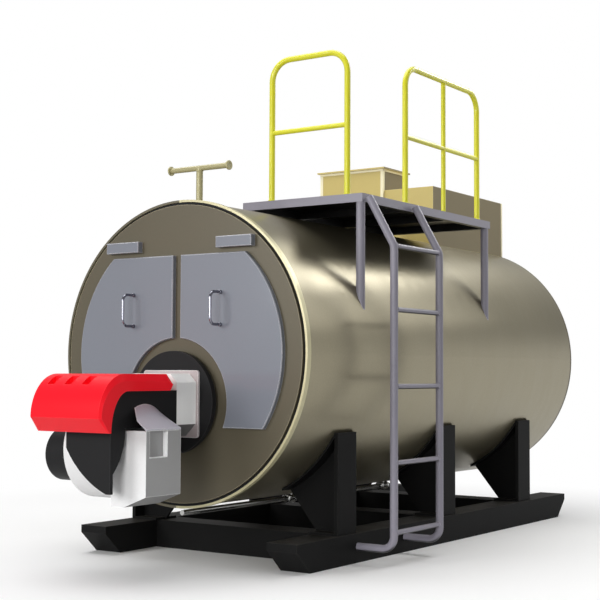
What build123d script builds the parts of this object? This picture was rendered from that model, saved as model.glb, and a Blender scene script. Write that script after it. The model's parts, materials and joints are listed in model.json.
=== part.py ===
"""Packaged fire-tube steam boiler: shell with its front doors, burner, skid, platform, ladder and boxes.

Frame: +X right of the front face, +Y from the burner end to the rear, +Z up, mm.
The pieces are drawn from the shell's front end, on its axis. They are exported with the origin on the
floor, at the middle of the skid's middle cross member.
"""
import math
import os

from build123d import *

os.makedirs("parts", exist_ok=True)

# Driving dimensions
SHELL_R = 1100.0            # outer radius of the jacketed shell
SHELL_L = 4606.0            # front end to rear end
SHELL_LIFT = 412.0          # shell's underside above the floor
WALL = 60.0                 # pressure plate, insulation and cladding together
SEAT = 0.3                  # clearance between pieces that only lie against each other
SPIGOT = 40.0               # depth that an end plate reaches into the shell

RIM_W, RIM_PROUD = 17.0, 12.0                        # bright trim ring round the front end, and past the skin
RIM_FACE, RIM_BACK = -14.0, 30.0
RIM_GAP = 20.0              # dark gap between the trim ring and the front plate
PLATE_FACE = -22.0          # front plate's face, a little ahead of the trim ring's
PLATE_BACK_T = 30.0         # rear plate outside the shell

DOOR_T, DOOR_EDGE = 38.0, 5.0
DOOR_MARGIN = 142.0         # doors' outer arc in from the front plate's edge
DOOR_DROP, DOOR_BOTTOM = 394.0, -525.0       # doors' top below the shell's top, and their bottom
DOOR_SPLIT = 36.0           # inner straight edge, each side of the centre line
DOOR_ARC_R = 460.0          # inner arc round the burner opening
BURNER_Z = -352.0           # burner opening centre, from the shell axis

HANGER_X0, HANGER_H, HANGER_GAP = 361.0, 79.0, 37.0
HANGER_MARGIN = 13.0        # a hanger's outer corner in from the front plate's edge
HANGER_T, HANGER_EDGE = 50.0, 4.0
HANDLE_X, HANDLE_Z0, HANDLE_Z1 = 404.0, 198.0, 427.0
HANDLE_OUT, HANDLE_D, HANDLE_BEND = 120.0, 20.0, 48.0

DISC_R, DISC_FACE, DISC_T = 367.0, -97.0, 42.0      # round plate that carries the burner
BOSS_R = 300.0
FLANGE_T, FLANGE_CORNER = 16.0, 22.0
FLANGE_HALF_X, FLANGE_HALF_Z = 252.0, 237.0
FLANGE_MID_Z = -361.0
NECK_HALF_X, NECK_TOP, NECK_BOTTOM = 232.0, -148.0, -585.0
NECK_CHAMFER, NECK_LOW_CHAMFER = 60.0, 85.0
NECK_FRONT = -325.0

HOOD_HALF_X, HOOD_EDGE, HOOD_TOP_EDGE = 318.0, 16.0, 48.0     # half width, and its bevel in front and on top
HOOD_TOP, HOOD_ARM_BOTTOM, HOOD_BOTTOM = -150.0, -262.0, -530.0
HOOD_FRONT, HOOD_REAR = -1178.0, -447.0
HOOD_TAIL_DROP, HOOD_TAIL_UNDER = 70.0, 45.0         # slopes of the rear tip, above and below
HOOD_NOSE_R = 240.0         # big front shoulder
HOOD_CHIN_Y, HOOD_CHIN_Z, HOOD_LIP = -1090.0, -435.0, 18.0
HOOD_HOLLOW_Y = -912.0      # where the arm's underside meets the concave arc
VENT_X = (-236.0, -81.0, 74.0)
VENT_W, VENT_Y0, VENT_Y1, VENT_FLOOR = 66.0, -1096.0, -1010.0, 36.0

BODY_X0, BODY_X1 = -160.0, 234.0
BODY_FRONT, BODY_SKIRT_Z, BODY_SKIRT_T = -1000.0, -929.0, 28.0
BODY_BOTTOM, BODY_LIP = -508.0, 12.0
BODY_SWEEP_Y, BODY_SWEEP_Z, BODY_SWEEP_R = 153.0, -800.0, 400.0
SKIRT_HIGH_Z, SKIRT_MID_Z, SKIRT_MID_X, SKIRT_FLAT = -640.0, -800.0, 138.0, 36.0
FAN_X0, FAN_X1 = -262.0, 88.0
FAN_Y, FAN_Z, FAN_R = -566.0, -656.0, 343.0
MOTOR_LENGTH, MOTOR_R, MOTOR_EDGE = 240.0, 186.0, 25.0
MOTOR_Y, MOTOR_Z = -668.0, -702.0
BOX_X0, BOX_X1 = 95.0, 396.0
BOX_Y0, BOX_Y1 = -825.0, -473.0
BOX_TOP, BOX_BOTTOM, BOX_BEVEL_W, BOX_BEVEL_H = -523.0, -1025.0, 190.0, 75.0
COWL_SHEET = 14.0           # intake cowl, from the body's side down to the box's outer edge
# Each section: share of the way out, front edge in from the box's front, heights of the front edge, of the
# crown and of the rear edge, and rear edge in from the box's rear.
COWL_SECTIONS = ((0.0, 65.0, -375.0, -352.0, -403.0, 37.0), (0.44, 10.0, -455.0, -428.0, -454.0, 17.0),
                 (1.0, 0.0, -509.0, -509.0, -509.0, 0.0))
NICHE_Y0, NICHE_Y1, NICHE_Z0, NICHE_DEEP = -790.0, -610.0, -698.0, 37.0

DECK_X0, DECK_IN = -33.0, 44.0                       # deck's edges: left, and in from the shell's side
DECK_Y0, DECK_SHORT = 778.0, 1701.0                  # deck's ends: front, and back from the shell's rear end
DECK_ABOVE = 81.0           # deck's top above the shell's top
DECK_T, FRAME_H, FRAME_W = 6.0, 58.0, 50.0
BAYS = 3
BRACKET_W, BRACKET_IN = 120.0, 200.0                 # seats of the frame on the shell's top
LEG_D, LEG_WALL, LEG_IN = 66.0, 5.0, 4.0

RAIL_D, RAIL_WALL, RAIL_BEND = 46.0, 4.0, 160.0
RAIL_HIGH, RAIL_LOW = 1083.0, 525.0                  # tube centres above the deck's top
FRONT_POST_X, FRONT_POST_IN = 224.0, 148.0
SIDE_POST_Y, SIDE_POST_IN, SIDE_POST_SHARE = 1464.0, 197.0, 0.509
INFILL_D = 38.0
RAIL_IN_FRONT, RAIL_IN_SIDE = 4.0, 6.0               # rails in from the deck's edges

LADDER_OUT, LADDER_BEND_DROP, LADDER_HEAD_DROP = 239.0, 398.0, 30.0
STRINGER_YS = (828.0, 1519.0)
STRINGER_D, STRINGER_WALL, RUNG_D = 58.0, 5.0, 38.0
RUNG_SHARES = (0.0, 0.2116, 0.4663, 0.7178, 0.9459)  # rungs, as shares of the way from the bend to the hook
HOOK_DROP, HOOK_BEND = 95.0, 95.0                    # the ladder's foot below the beam's top

TEE_Y, TEE_ABOVE, TEE_HALF = 195.0, 273.0, 278.0
TEE_RISER_D, TEE_BAR_D, TEE_END_D, TEE_END_T = 50.0, 42.0, 68.0, 12.0

BEAM_IN, BEAM_W, BEAM_H = 230.0, 248.0, 211.0        # beam's middle in from the shell's side
BEAM_Y0, BEAM_PAST = 36.0, 59.0                      # beam's ends: front, and past the shell's rear end
SLED_CUT, SLED_NIB = 168.0, 55.0
CROSS_AHEAD = 38.0          # the front cross member behind the front saddle's middle

SADDLE_FRONT_Y, SADDLE_MID_Y, SADDLE_REAR_IN = 715.0, 2280.0, 826.0
SADDLE_W, SADDLE_PLATE, WEAR_T, FOOT_T = 250.0, 30.0, 14.0, 16.0
SADDLE_IN, SADDLE_PROUD = 129.0, 24.0                # outer face from the shell's side, and top past its skin
WEB_T, WEB_HEEL = 24.0, 20.0
WEB_TOP_IN, WEB_FOOT_IN = 616.0, 144.0               # web's inner edge: at the shell, and at the beam

SMOKE_X0, SMOKE_X1 = -150.0, 368.0
SMOKE_LENGTH, SMOKE_ABOVE = 1461.0, 479.0
FLUE_SIDE_IN, FLUE_BACK, FLUE_DEPTH, FLUE_ABOVE = 253.0, 1483.0, 447.0, 695.0
SHEET = 8.0
LID_LIP, LID_T = 26.0, 14.0

DRAIN_D, DRAIN_BELOW = 38.0, 46.0
DRAIN_Y0, DRAIN_SHORT = 30.0, 1646.0
DRAIN_DROP_Y, DRAIN_END = 1397.0, 100.0               # first drop, and the pipe's end past the second
UNION_LENGTH, UNION_EXTRA = 90.0, 14.0               # fittings at the drops, and their radius past the pipe's

# Dependent dimensions
BORE_R = SHELL_R - WALL
RIM_R = SHELL_R + RIM_PROUD
PLATE_R = RIM_R - RIM_W - RIM_GAP
AXIS_Z = SHELL_R + SHELL_LIFT
DOOR_R = PLATE_R - DOOR_MARGIN
DOOR_TOP = SHELL_R - DOOR_DROP
DOOR_FACE = PLATE_FACE - DOOR_T
HANGER_Z0 = DOOR_TOP + HANGER_GAP
HANGER_Z1 = HANGER_Z0 + HANGER_H
HANGER_X1 = math.sqrt((PLATE_R - HANGER_MARGIN) ** 2 - HANGER_Z1 ** 2)
DECK_X1 = SHELL_R - DECK_IN
DECK_Y1 = SHELL_L - DECK_SHORT
DECK_TOP = SHELL_R + DECK_ABOVE
DECK_BOTTOM = DECK_TOP - DECK_T
RAIL_TOP, RAIL_MID = DECK_TOP + RAIL_HIGH, DECK_TOP + RAIL_LOW
FRONT_POSTS = (FRONT_POST_X, DECK_X1 - FRONT_POST_IN)
side_last = DECK_Y1 - SIDE_POST_IN
SIDE_POSTS = (SIDE_POST_Y, SIDE_POST_Y + SIDE_POST_SHARE * (side_last - SIDE_POST_Y), side_last)
BEAM_X = SHELL_R - BEAM_IN
BEAM_Y1 = SHELL_L + BEAM_PAST
BEAM_TOP = BEAM_H - AXIS_Z
LADDER_X = DECK_X1 + LADDER_OUT
LADDER_BEND_Z = DECK_TOP - LADDER_BEND_DROP
HOOK_Z = BEAM_TOP - HOOK_DROP
TEE_Z = SHELL_R + TEE_ABOVE
SADDLE_YS = (SADDLE_FRONT_Y, SADDLE_MID_Y, SHELL_L - SADDLE_REAR_IN)
CROSS_YS = (SADDLE_FRONT_Y + CROSS_AHEAD, SADDLE_MID_Y, SHELL_L - SADDLE_REAR_IN)
SADDLE_OUT = SHELL_R - SADDLE_IN
SADDLE_TOP = -math.sqrt((SHELL_R + SADDLE_PROUD) ** 2 - SADDLE_OUT ** 2)
SMOKE_Y0, SMOKE_TOP = SHELL_L - SMOKE_LENGTH, SHELL_R + SMOKE_ABOVE
FLUE_X0, FLUE_TOP = FLUE_SIDE_IN - SHELL_R, SHELL_R + FLUE_ABOVE
FLUE_Y0 = SHELL_L - FLUE_BACK
FLUE_Y1 = FLUE_Y0 + FLUE_DEPTH
DRAIN_Z = -SHELL_R - DRAIN_BELOW
DRAIN_Y1 = SHELL_L - DRAIN_SHORT
DRAIN_DROPS = (DRAIN_DROP_Y, DRAIN_Y1 - DRAIN_END)
ORIGIN_Y = CROSS_YS[1]
PAST = 5.0                  # length by which a cutting piece stands past what it cuts


def block(x0, x1, y0, y1, z0, z1):
    return Pos((x0 + x1) / 2, (y0 + y1) / 2, (z0 + z1) / 2) * Box(x1 - x0, y1 - y0, z1 - z0)


def rod_x(radius, x0, x1, y, z):
    low = (Align.CENTER, Align.CENTER, Align.MIN)
    return Pos(x0, y, z) * Rot(Y=90) * Cylinder(radius, x1 - x0, align=low)


def rod_y(radius, y0, y1, x=0.0, z=0.0):
    low = (Align.CENTER, Align.CENTER, Align.MIN)
    return Pos(x, y0, z) * Rot(X=-90) * Cylinder(radius, y1 - y0, align=low)


def rod_z(radius, z0, z1, x, y):
    low = (Align.CENTER, Align.CENTER, Align.MIN)
    return Pos(x, y, z0) * Cylinder(radius, z1 - z0, align=low)


def slab_y(sketch, y0, y1):
    """Extrude a sketch drawn in X and Z between two Y planes."""
    return extrude(Plane.XZ.offset(-y1) * sketch, amount=y1 - y0)


def slab_x(sketch, x0, x1):
    """Extrude a sketch drawn in Y and Z between two X planes."""
    return extrude(Plane.YZ.offset(x0) * sketch, amount=x1 - x0)


def bent_tube(points, diameter, bend, wall=0.0):
    """Sweep a round section along straight runs joined by equal bends."""
    path = FilletPolyline(*points, radius=bend)
    start = Plane(path @ 0, z_dir=path % 0)
    tube = sweep(start * Circle(diameter / 2), path=path)
    if wall:
        tube -= sweep(start * Circle(diameter / 2 - wall), path=path)
    return tube


def one(shape):
    """The single solid of a finished piece."""
    solids = shape.solids()
    if len(solids) != 1:
        raise ValueError(f"{len(solids)} solids")
    return solids[0]


parts = {}
shell_outside = rod_y(SHELL_R + SEAT, 0, SHELL_L + PAST)

# Shell and its ends
shell_y0, shell_y1 = RIM_BACK, SHELL_L - PLATE_BACK_T
parts["shell"] = rod_y(SHELL_R, shell_y0, shell_y1) - rod_y(BORE_R, shell_y0, shell_y1)
parts["front_rim"] = rod_y(RIM_R, RIM_FACE, RIM_BACK) - rod_y(RIM_R - RIM_W, RIM_FACE, RIM_BACK)
parts["front_plate"] = (rod_y(PLATE_R, PLATE_FACE, RIM_BACK)
                        + rod_y(BORE_R - SEAT, RIM_BACK, RIM_BACK + SPIGOT))
parts["rear_plate"] = (rod_y(SHELL_R, shell_y1, SHELL_L)
                       + rod_y(BORE_R - SEAT, shell_y1 - SPIGOT, shell_y1))

# Front doors with their fittings
for name, side in (("left", -1), ("right", 1)):
    width = DOOR_R - DOOR_SPLIT
    field = Pos(side * (DOOR_SPLIT + width / 2), (DOOR_TOP + DOOR_BOTTOM) / 2) \
        * Rectangle(width, DOOR_TOP - DOOR_BOTTOM)
    leaf = (field & Circle(DOOR_R)) - Pos(0, BURNER_Z) * Circle(DOOR_ARC_R)
    door = slab_y(leaf, DOOR_FACE, PLATE_FACE)
    parts[f"door_{name}"] = chamfer(door.faces().sort_by(Axis.Y)[0].edges(), DOOR_EDGE)

    x0, x1 = sorted((side * HANGER_X0, side * HANGER_X1))
    bar = block(x0, x1, PLATE_FACE - HANGER_T, PLATE_FACE, HANGER_Z0, HANGER_Z1)
    parts[f"door_hanger_{name}"] = chamfer(bar.faces().sort_by(Axis.Y)[0].edges(), HANGER_EDGE)

    x, out = side * HANDLE_X, DOOR_FACE - HANDLE_OUT
    grip = [(x, DOOR_FACE, HANDLE_Z0), (x, out, HANDLE_Z0), (x, out, HANDLE_Z1), (x, DOOR_FACE, HANDLE_Z1)]
    parts[f"door_handle_{name}"] = bent_tube(grip, HANDLE_D, HANDLE_BEND)

# Burner
parts["burner_disc"] = (rod_y(DISC_R, DISC_FACE, DISC_FACE + DISC_T, 0, BURNER_Z)
                        + rod_y(BOSS_R, DISC_FACE + DISC_T, PLATE_FACE, 0, BURNER_Z))
flange_face = DISC_FACE - FLANGE_T
flange = Pos(0, FLANGE_MID_Z) * RectangleRounded(2 * FLANGE_HALF_X, 2 * FLANGE_HALF_Z, FLANGE_CORNER)
parts["burner_flange"] = slab_y(flange, flange_face, DISC_FACE)
neck = block(-NECK_HALF_X, NECK_HALF_X, NECK_FRONT, flange_face, NECK_BOTTOM, NECK_TOP)
neck = chamfer(neck.edges().filter_by(Axis.Y).group_by(Axis.Z)[-1], NECK_CHAMFER)
parts["burner_neck"] = chamfer(neck.edges().filter_by(Axis.Y).group_by(Axis.Z)[0], NECK_LOW_CHAMFER)


def hood_profile(inset=0.0, drop=0.0):
    """Side outline of the hood in Y and Z. The bevel draws in its nose and tail, and drops its top."""
    nose, top_z = HOOD_FRONT + HOOD_NOSE_R, HOOD_TOP - drop
    lip_y = HOOD_CHIN_Y + HOOD_LIP
    tip = (HOOD_REAR - inset, HOOD_TOP - HOOD_TAIL_DROP)
    top = Polyline(tip, (HOOD_REAR - HOOD_TAIL_DROP, top_z), (nose, top_z))
    shoulder = EllipticalCenterArc((nose, HOOD_CHIN_Z), HOOD_NOSE_R - inset, top_z - HOOD_CHIN_Z, 90)
    chin = Line((HOOD_FRONT + inset, HOOD_CHIN_Z), (HOOD_CHIN_Y, HOOD_BOTTOM))
    lip = Line((HOOD_CHIN_Y, HOOD_BOTTOM), (lip_y, HOOD_BOTTOM))
    hollow = EllipticalCenterArc((HOOD_HOLLOW_Y, HOOD_BOTTOM), HOOD_HOLLOW_Y - lip_y,
                                 HOOD_ARM_BOTTOM - HOOD_BOTTOM, 90)
    arm = Polyline((HOOD_HOLLOW_Y, HOOD_ARM_BOTTOM), (HOOD_REAR - HOOD_TAIL_UNDER, HOOD_ARM_BOTTOM), tip)
    return make_face([top, shoulder, chin, lip, hollow, arm])


flat_half = HOOD_HALF_X - HOOD_EDGE
hood_side = loft([Plane.YZ.offset(flat_half) * hood_profile(),
                  Plane.YZ.offset(HOOD_HALF_X) * hood_profile(HOOD_EDGE, HOOD_TOP_EDGE)], ruled=True)
hood = slab_x(hood_profile(), -flat_half, flat_half) + hood_side + mirror(hood_side, about=Plane.YZ)
vent_floor = Pos(HOOD_FRONT + HOOD_NOSE_R, HOOD_CHIN_Z) \
    * Ellipse(HOOD_NOSE_R - VENT_FLOOR, HOOD_TOP - HOOD_CHIN_Z - VENT_FLOOR)
for x in VENT_X:
    vent = block(x, x + VENT_W, VENT_Y0, VENT_Y1, HOOD_CHIN_Z, HOOD_TOP + PAST)
    hood -= vent - slab_x(vent_floor, x - 1, x + VENT_W + 1)
parts["burner_hood"] = hood

body_lip = BODY_FRONT + BODY_LIP
body_back = NECK_FRONT - SEAT
skirt_back = BODY_FRONT + BODY_LIP + BODY_SKIRT_T
sweep_end = BODY_FRONT + BODY_SWEEP_Y
arch = EllipticalCenterArc((HOOD_HOLLOW_Y, HOOD_BOTTOM), HOOD_HOLLOW_Y - body_lip,
                           HOOD_ARM_BOTTOM - HOOD_BOTTOM - SEAT, 90)
body_face = make_face([
    arch,
    Polyline(arch @ 1, (body_lip, BODY_SKIRT_Z), (skirt_back, BODY_SKIRT_Z), (skirt_back, BODY_SWEEP_Z)),
    RadiusArc((skirt_back, BODY_SWEEP_Z), (sweep_end, BODY_BOTTOM), -BODY_SWEEP_R),
    Polyline((sweep_end, BODY_BOTTOM), (body_back, BODY_BOTTOM),
             (body_back, HOOD_ARM_BOTTOM - SEAT), arch @ 0),
])
skirt_out, skirt_low = BODY_X0 - PAST, BODY_SKIRT_Z - PAST
skirt_end = (BODY_X1 - SKIRT_FLAT, BODY_SKIRT_Z)
skirt_cut = make_face([
    ThreePointArc((BODY_X0, SKIRT_HIGH_Z), (BODY_X0 + SKIRT_MID_X, SKIRT_MID_Z), skirt_end),
    Polyline(skirt_end, (skirt_end[0], skirt_low), (skirt_out, skirt_low), (skirt_out, SKIRT_HIGH_Z),
             (BODY_X0, SKIRT_HIGH_Z)),
])
body = slab_x(body_face, BODY_X0, BODY_X1)
parts["burner_body"] = body - slab_y(skirt_cut, BODY_FRONT - PAST, sweep_end + PAST)

fan = rod_x(FAN_R, FAN_X0, FAN_X1, FAN_Y, FAN_Z)
fan &= block(FAN_X0, FAN_X1, skirt_back + SEAT, 0, FAN_Z - FAN_R - PAST, BODY_BOTTOM - SEAT)
fan -= slab_x(offset(body_face, SEAT), BODY_X0 - SEAT, BODY_X1 + SEAT)
parts["fan_scroll"] = fan - block(FAN_X0 - PAST, FAN_X1 + PAST, NECK_FRONT - SEAT, 0, NECK_BOTTOM - SEAT, 0)
motor = rod_x(MOTOR_R, FAN_X0 - MOTOR_LENGTH, FAN_X0, MOTOR_Y, MOTOR_Z)
parts["fan_motor"] = fillet(motor.edges().group_by(Axis.X)[0], MOTOR_EDGE)

box_face = make_face(Polyline(
    (BOX_X0, BOX_TOP), (BOX_X0, BOX_BOTTOM), (BOX_X1 - BOX_BEVEL_W, BOX_BOTTOM),
    (BOX_X1, BOX_BOTTOM + BOX_BEVEL_H), (BOX_X1, BOX_TOP), (BOX_X0, BOX_TOP)))
box = slab_y(box_face, BOX_Y0, BOX_Y1)
box -= block(BOX_X1 - NICHE_DEEP, BOX_X1 + PAST, NICHE_Y0, NICHE_Y1, NICHE_Z0, BOX_TOP + PAST)


def cowl_loft(sheet=0.0, ahead=0.0):
    """Roof of the intake cowl over the box, or the hollow under it that is open towards the front."""
    x0, faces = BODY_X1 + SEAT, []
    for share, front_in, front_z, top_z, rear_z, rear_in in COWL_SECTIONS:
        y0, y1 = BOX_Y0 + front_in - ahead, BOX_Y1 - rear_in - sheet
        front, rear = (y0, front_z - sheet), (y1, rear_z - sheet)
        if top_z == front_z:
            roof = Line(front, rear)
        else:
            roof = ThreePointArc(front, ((y0 + y1) / 2, top_z - sheet), rear)
        foot = Polyline(rear, (y1, BOX_TOP), (y0, BOX_TOP), front)
        faces.append(Plane.YZ.offset(x0 + share * (BOX_X1 - x0)) * make_face([roof, foot]))
    return loft(faces, ruled=True)


cowl = cowl_loft() - cowl_loft(COWL_SHEET - SEAT, NICHE_DEEP)
parts["intake_box"] = box + cowl

# Vent tee on the shell's top
tee = rod_z(TEE_RISER_D / 2, SHELL_R - PAST, TEE_Z, 0, TEE_Y)
tee += rod_x(TEE_BAR_D / 2, -TEE_HALF, TEE_HALF, TEE_Y, TEE_Z)
for side in (-1, 1):
    x0, x1 = sorted((side * TEE_HALF, side * (TEE_HALF - TEE_END_T)))
    tee += rod_x(TEE_END_D / 2, x0, x1, TEE_Y, TEE_Z)
parts["vent_tee"] = tee - shell_outside

# Platform
frame_bottom = DECK_BOTTOM - FRAME_H
parts["platform_deck"] = block(DECK_X0, DECK_X1, DECK_Y0, DECK_Y1, DECK_BOTTOM, DECK_TOP)
frame = block(DECK_X0, DECK_X1, DECK_Y0, DECK_Y1, frame_bottom, DECK_BOTTOM)
bay = (DECK_Y1 - DECK_Y0 - FRAME_W) / BAYS
for i in range(BAYS):
    y0 = DECK_Y0 + FRAME_W + i * bay
    frame -= block(DECK_X0 + FRAME_W, DECK_X1 - FRAME_W, y0, y0 + bay - FRAME_W,
                   frame_bottom - PAST, DECK_BOTTOM + PAST)
for y in (DECK_Y0 + BRACKET_IN, DECK_Y1 - BRACKET_IN):
    frame += block(DECK_X0, DECK_X0 + FRAME_W, y - BRACKET_W / 2, y + BRACKET_W / 2,
                   SHELL_R - PAST, frame_bottom)
parts["platform_frame"] = frame - shell_outside

leg_x = DECK_X1 - LEG_IN - LEG_D / 2
leg_foot = math.sqrt(SHELL_R ** 2 - (leg_x + LEG_D / 2) ** 2) - PAST
leg_in = LEG_IN + LEG_D / 2
for name, y in (("front", DECK_Y0 + leg_in), ("rear", DECK_Y1 - leg_in)):
    leg = rod_z(LEG_D / 2, leg_foot, frame_bottom, leg_x, y)
    leg -= rod_z(LEG_D / 2 - LEG_WALL, leg_foot - PAST, frame_bottom + PAST, leg_x, y)
    parts[f"platform_leg_{name}"] = leg - shell_outside

# Guard rails
post_core = RAIL_D / 2 - RAIL_WALL / 2
rail_y = DECK_Y0 + RAIL_IN_FRONT + RAIL_D / 2
rail_x = DECK_X1 - RAIL_IN_SIDE - RAIL_D / 2
xa, xb = FRONT_POSTS
front_run = [(xa, rail_y, DECK_TOP), (xa, rail_y, RAIL_TOP), (xb, rail_y, RAIL_TOP), (xb, rail_y, DECK_TOP)]
infill = rod_x(INFILL_D / 2, xa, xb, rail_y, RAIL_MID)
for x in FRONT_POSTS:
    infill -= rod_z(post_core, DECK_TOP, RAIL_TOP, x, rail_y)
parts["guard_rail_front"] = bent_tube(front_run, RAIL_D, RAIL_BEND, RAIL_WALL) + infill

ya, ym, yb = SIDE_POSTS
side_run = [(rail_x, ya, DECK_TOP), (rail_x, ya, RAIL_TOP), (rail_x, yb, RAIL_TOP), (rail_x, yb, DECK_TOP)]
infill = rod_y(INFILL_D / 2, ya, yb, rail_x, RAIL_MID) + rod_z(INFILL_D / 2, DECK_TOP, RAIL_TOP, rail_x, ym)
for y in (ya, yb):
    infill -= rod_z(post_core, DECK_TOP, RAIL_TOP, rail_x, y)
infill -= rod_y(post_core, ya, yb, rail_x, RAIL_TOP)
parts["guard_rail_side"] = bent_tube(side_run, RAIL_D, RAIL_BEND, RAIL_WALL) + infill

# Ladder
head = DECK_X1 + SEAT
hook_end = BEAM_X + BEAM_W / 2 + SEAT
envelopes = []
for name, y in zip(("front", "rear"), STRINGER_YS):
    run = [(head + STRINGER_D / 2, y, DECK_TOP - LADDER_HEAD_DROP), (LADDER_X, y, LADDER_BEND_Z),
           (LADDER_X, y, HOOK_Z), (hook_end, y, HOOK_Z)]
    stringer = bent_tube(run, STRINGER_D, HOOK_BEND, STRINGER_WALL)
    envelopes.append(bent_tube(run, STRINGER_D + 2 * SEAT, HOOK_BEND))
    behind = block(0, head, y - STRINGER_D, y + STRINGER_D, frame_bottom - STRINGER_D, DECK_TOP + STRINGER_D)
    parts[f"ladder_stringer_{name}"] = stringer - behind
for i, share in enumerate(RUNG_SHARES, 1):
    z = LADDER_BEND_Z + share * (HOOK_Z - LADDER_BEND_Z)
    rung = rod_y(RUNG_D / 2, STRINGER_YS[0], STRINGER_YS[1], LADDER_X, z)
    for envelope in envelopes:
        rung -= envelope
    parts[f"ladder_rung_{i}"] = rung

# Smoke box and flue box
smoke = block(SMOKE_X0, SMOKE_X1, SMOKE_Y0, SHELL_L, 0, SMOKE_TOP)
smoke -= block(SMOKE_X0 + SHEET, SMOKE_X1 - SHEET, SMOKE_Y0 + SHEET, SHELL_L - SHEET,
               -PAST, SMOKE_TOP - SHEET)
parts["smoke_box"] = smoke - shell_outside
flue_x1, flue_top = SMOKE_X0 - SEAT, FLUE_TOP - LID_T
flue = block(FLUE_X0, flue_x1, FLUE_Y0, FLUE_Y1, 0, flue_top)
flue -= block(FLUE_X0 + SHEET, flue_x1 - SHEET, FLUE_Y0 + SHEET, FLUE_Y1 - SHEET, -PAST, flue_top + PAST)
parts["flue_box"] = flue - shell_outside
parts["flue_box_lid"] = block(FLUE_X0 - LID_LIP, flue_x1 + LID_LIP, FLUE_Y0 - LID_LIP, FLUE_Y1 + LID_LIP,
                              flue_top, FLUE_TOP)

# Skid and saddles
sled = make_face(Polyline(
    (BEAM_Y0, BEAM_TOP), (BEAM_Y0, BEAM_TOP - SLED_NIB), (BEAM_Y0 + SLED_CUT, -AXIS_Z),
    (BEAM_Y1 - SLED_CUT, -AXIS_Z), (BEAM_Y1, BEAM_TOP - SLED_NIB), (BEAM_Y1, BEAM_TOP), (BEAM_Y0, BEAM_TOP)))
beam_in, beam_out = BEAM_X - BEAM_W / 2, BEAM_X + BEAM_W / 2
for name, side in (("left", -1), ("right", 1)):
    x0, x1 = sorted((side * beam_in, side * beam_out))
    parts[f"skid_beam_{name}"] = slab_x(sled, x0, x1)
for name, y in zip(("front", "middle", "rear"), CROSS_YS):
    parts[f"skid_cross_{name}"] = block(SEAT - beam_in, beam_in - SEAT, y - BEAM_W / 2, y + BEAM_W / 2,
                                        -AXIS_Z, BEAM_TOP)

saddle_r = SHELL_R + SEAT
web_top, web_foot = SHELL_R - WEB_TOP_IN, BEAM_X - WEB_FOOT_IN
heel_z = -math.sqrt(saddle_r ** 2 - web_top ** 2) - WEB_HEEL
web = make_face(Polyline(
    (SADDLE_OUT, SADDLE_TOP), (SADDLE_OUT, BEAM_TOP), (web_foot, BEAM_TOP), (web_top, heel_z),
    (web_top, SADDLE_TOP), (SADDLE_OUT, SADDLE_TOP)))
for i, y in enumerate(SADDLE_YS, 1):
    y0, y1 = y - SADDLE_W / 2, y + SADDLE_W / 2
    stand = slab_y(web, y - WEB_T / 2, y + WEB_T / 2)
    stand += block(SADDLE_OUT - SADDLE_PLATE, SADDLE_OUT, y0, y1, BEAM_TOP, SADDLE_TOP)
    stand += block(web_foot, SADDLE_OUT, y0, y1, BEAM_TOP, BEAM_TOP + FOOT_T)
    wear = rod_y(saddle_r + WEAR_T, y0, y1) & block(web_top, SADDLE_OUT, y0, y1, -AXIS_Z, SADDLE_TOP)
    stand = stand + wear - rod_y(saddle_r, y0 - PAST, y1 + PAST)
    parts[f"saddle_right_{i}"] = stand
    parts[f"saddle_left_{i}"] = mirror(stand, about=Plane.YZ)

# Bottom drain line
drain = rod_y(DRAIN_D / 2, DRAIN_Y0, DRAIN_Y1, 0, DRAIN_Z)
for y in DRAIN_DROPS:
    drain += rod_z(DRAIN_D / 2, DRAIN_Z, PAST - SHELL_R, 0, y)
    drain += rod_y(DRAIN_D / 2 + UNION_EXTRA, y - UNION_LENGTH / 2, y + UNION_LENGTH / 2, 0, DRAIN_Z)
parts["drain_line"] = drain - shell_outside

for name, shape in parts.items():
    try:
        export_step(Pos(0, -ORIGIN_Y, AXIS_Z) * one(shape), f"parts/{name}.step")
    except Exception as error:
        raise RuntimeError(name) from error
print(len(parts), "parts")
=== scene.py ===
# %% [markdown]
# # A packaged steam boiler
#
# This lesson dresses a boiler that came from a CAD model. The CAD gives every piece its true place
# and size in metres. The front of the boiler looks towards -Y, +X is to its right and +Z is up.
# Blender adds the paint, the small fittings, the light and the camera. The large shapes could be
# modelled again here, but then two models would have to agree, so they stay as the CAD drew them.

# %% Load the frame
import json
import math

import bmesh
import bpy
from mathutils import Matrix, Vector


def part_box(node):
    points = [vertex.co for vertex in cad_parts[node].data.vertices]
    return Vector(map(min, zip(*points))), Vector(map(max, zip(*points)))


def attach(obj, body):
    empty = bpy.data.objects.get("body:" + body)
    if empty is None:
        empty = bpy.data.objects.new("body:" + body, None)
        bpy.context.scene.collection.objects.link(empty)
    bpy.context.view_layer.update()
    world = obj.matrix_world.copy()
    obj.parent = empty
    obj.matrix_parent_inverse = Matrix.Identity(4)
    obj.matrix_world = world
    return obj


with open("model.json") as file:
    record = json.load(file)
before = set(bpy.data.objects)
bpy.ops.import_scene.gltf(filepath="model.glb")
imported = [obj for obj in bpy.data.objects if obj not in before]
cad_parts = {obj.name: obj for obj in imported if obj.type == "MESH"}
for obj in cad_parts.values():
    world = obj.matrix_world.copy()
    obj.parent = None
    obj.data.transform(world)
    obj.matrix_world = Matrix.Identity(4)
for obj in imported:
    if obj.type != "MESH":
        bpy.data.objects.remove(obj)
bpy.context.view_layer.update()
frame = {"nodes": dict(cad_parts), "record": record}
nodes = frame["nodes"]
slot_of = {part["node"]: part["material_slot"] for part in frame["record"]["subparts"]}
print(len(nodes), "pieces from the CAD")

# %% [markdown]
# The shell is the big drum. Most places on the boiler are easy to say from its axis and its two
# ends. Those numbers could be typed in again, but read from the drum's own box they stay right when
# the CAD changes.

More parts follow.
